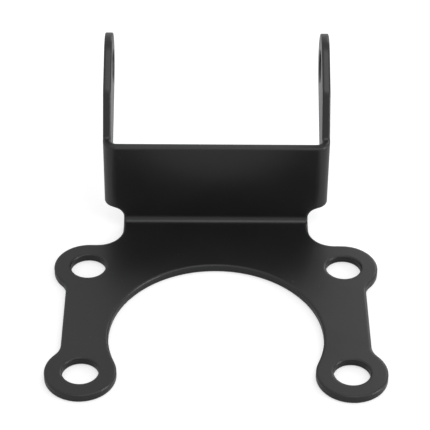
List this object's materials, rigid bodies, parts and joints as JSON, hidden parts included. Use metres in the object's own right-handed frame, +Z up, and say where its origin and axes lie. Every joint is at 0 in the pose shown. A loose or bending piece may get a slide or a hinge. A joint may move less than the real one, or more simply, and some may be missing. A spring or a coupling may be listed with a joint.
{
  "type": "motor mounting bracket",
  "caption": "Folded steel plate with a round motor cut-out open to the front, bolt holes about it, an upright rear wall and rising side ears with pivot holes.",
  "frame": {"origin": "midway between the base bolt holes, on the underside of the base plate", "axes": "+X across the bracket along the ear holes, +Y from the open end of the cut-out towards the upright wall and ears, +Z up off the base plate"},
  "size_m": [0.0798, 0.097, 0.0414],
  "materials": {
    "black_powder_coat": "semi-matt smooth black powder coat on steel"
  },
  "bodies": {
    "root": {"motor_bracket": "black_powder_coat"}
  },
  "joints": []
}
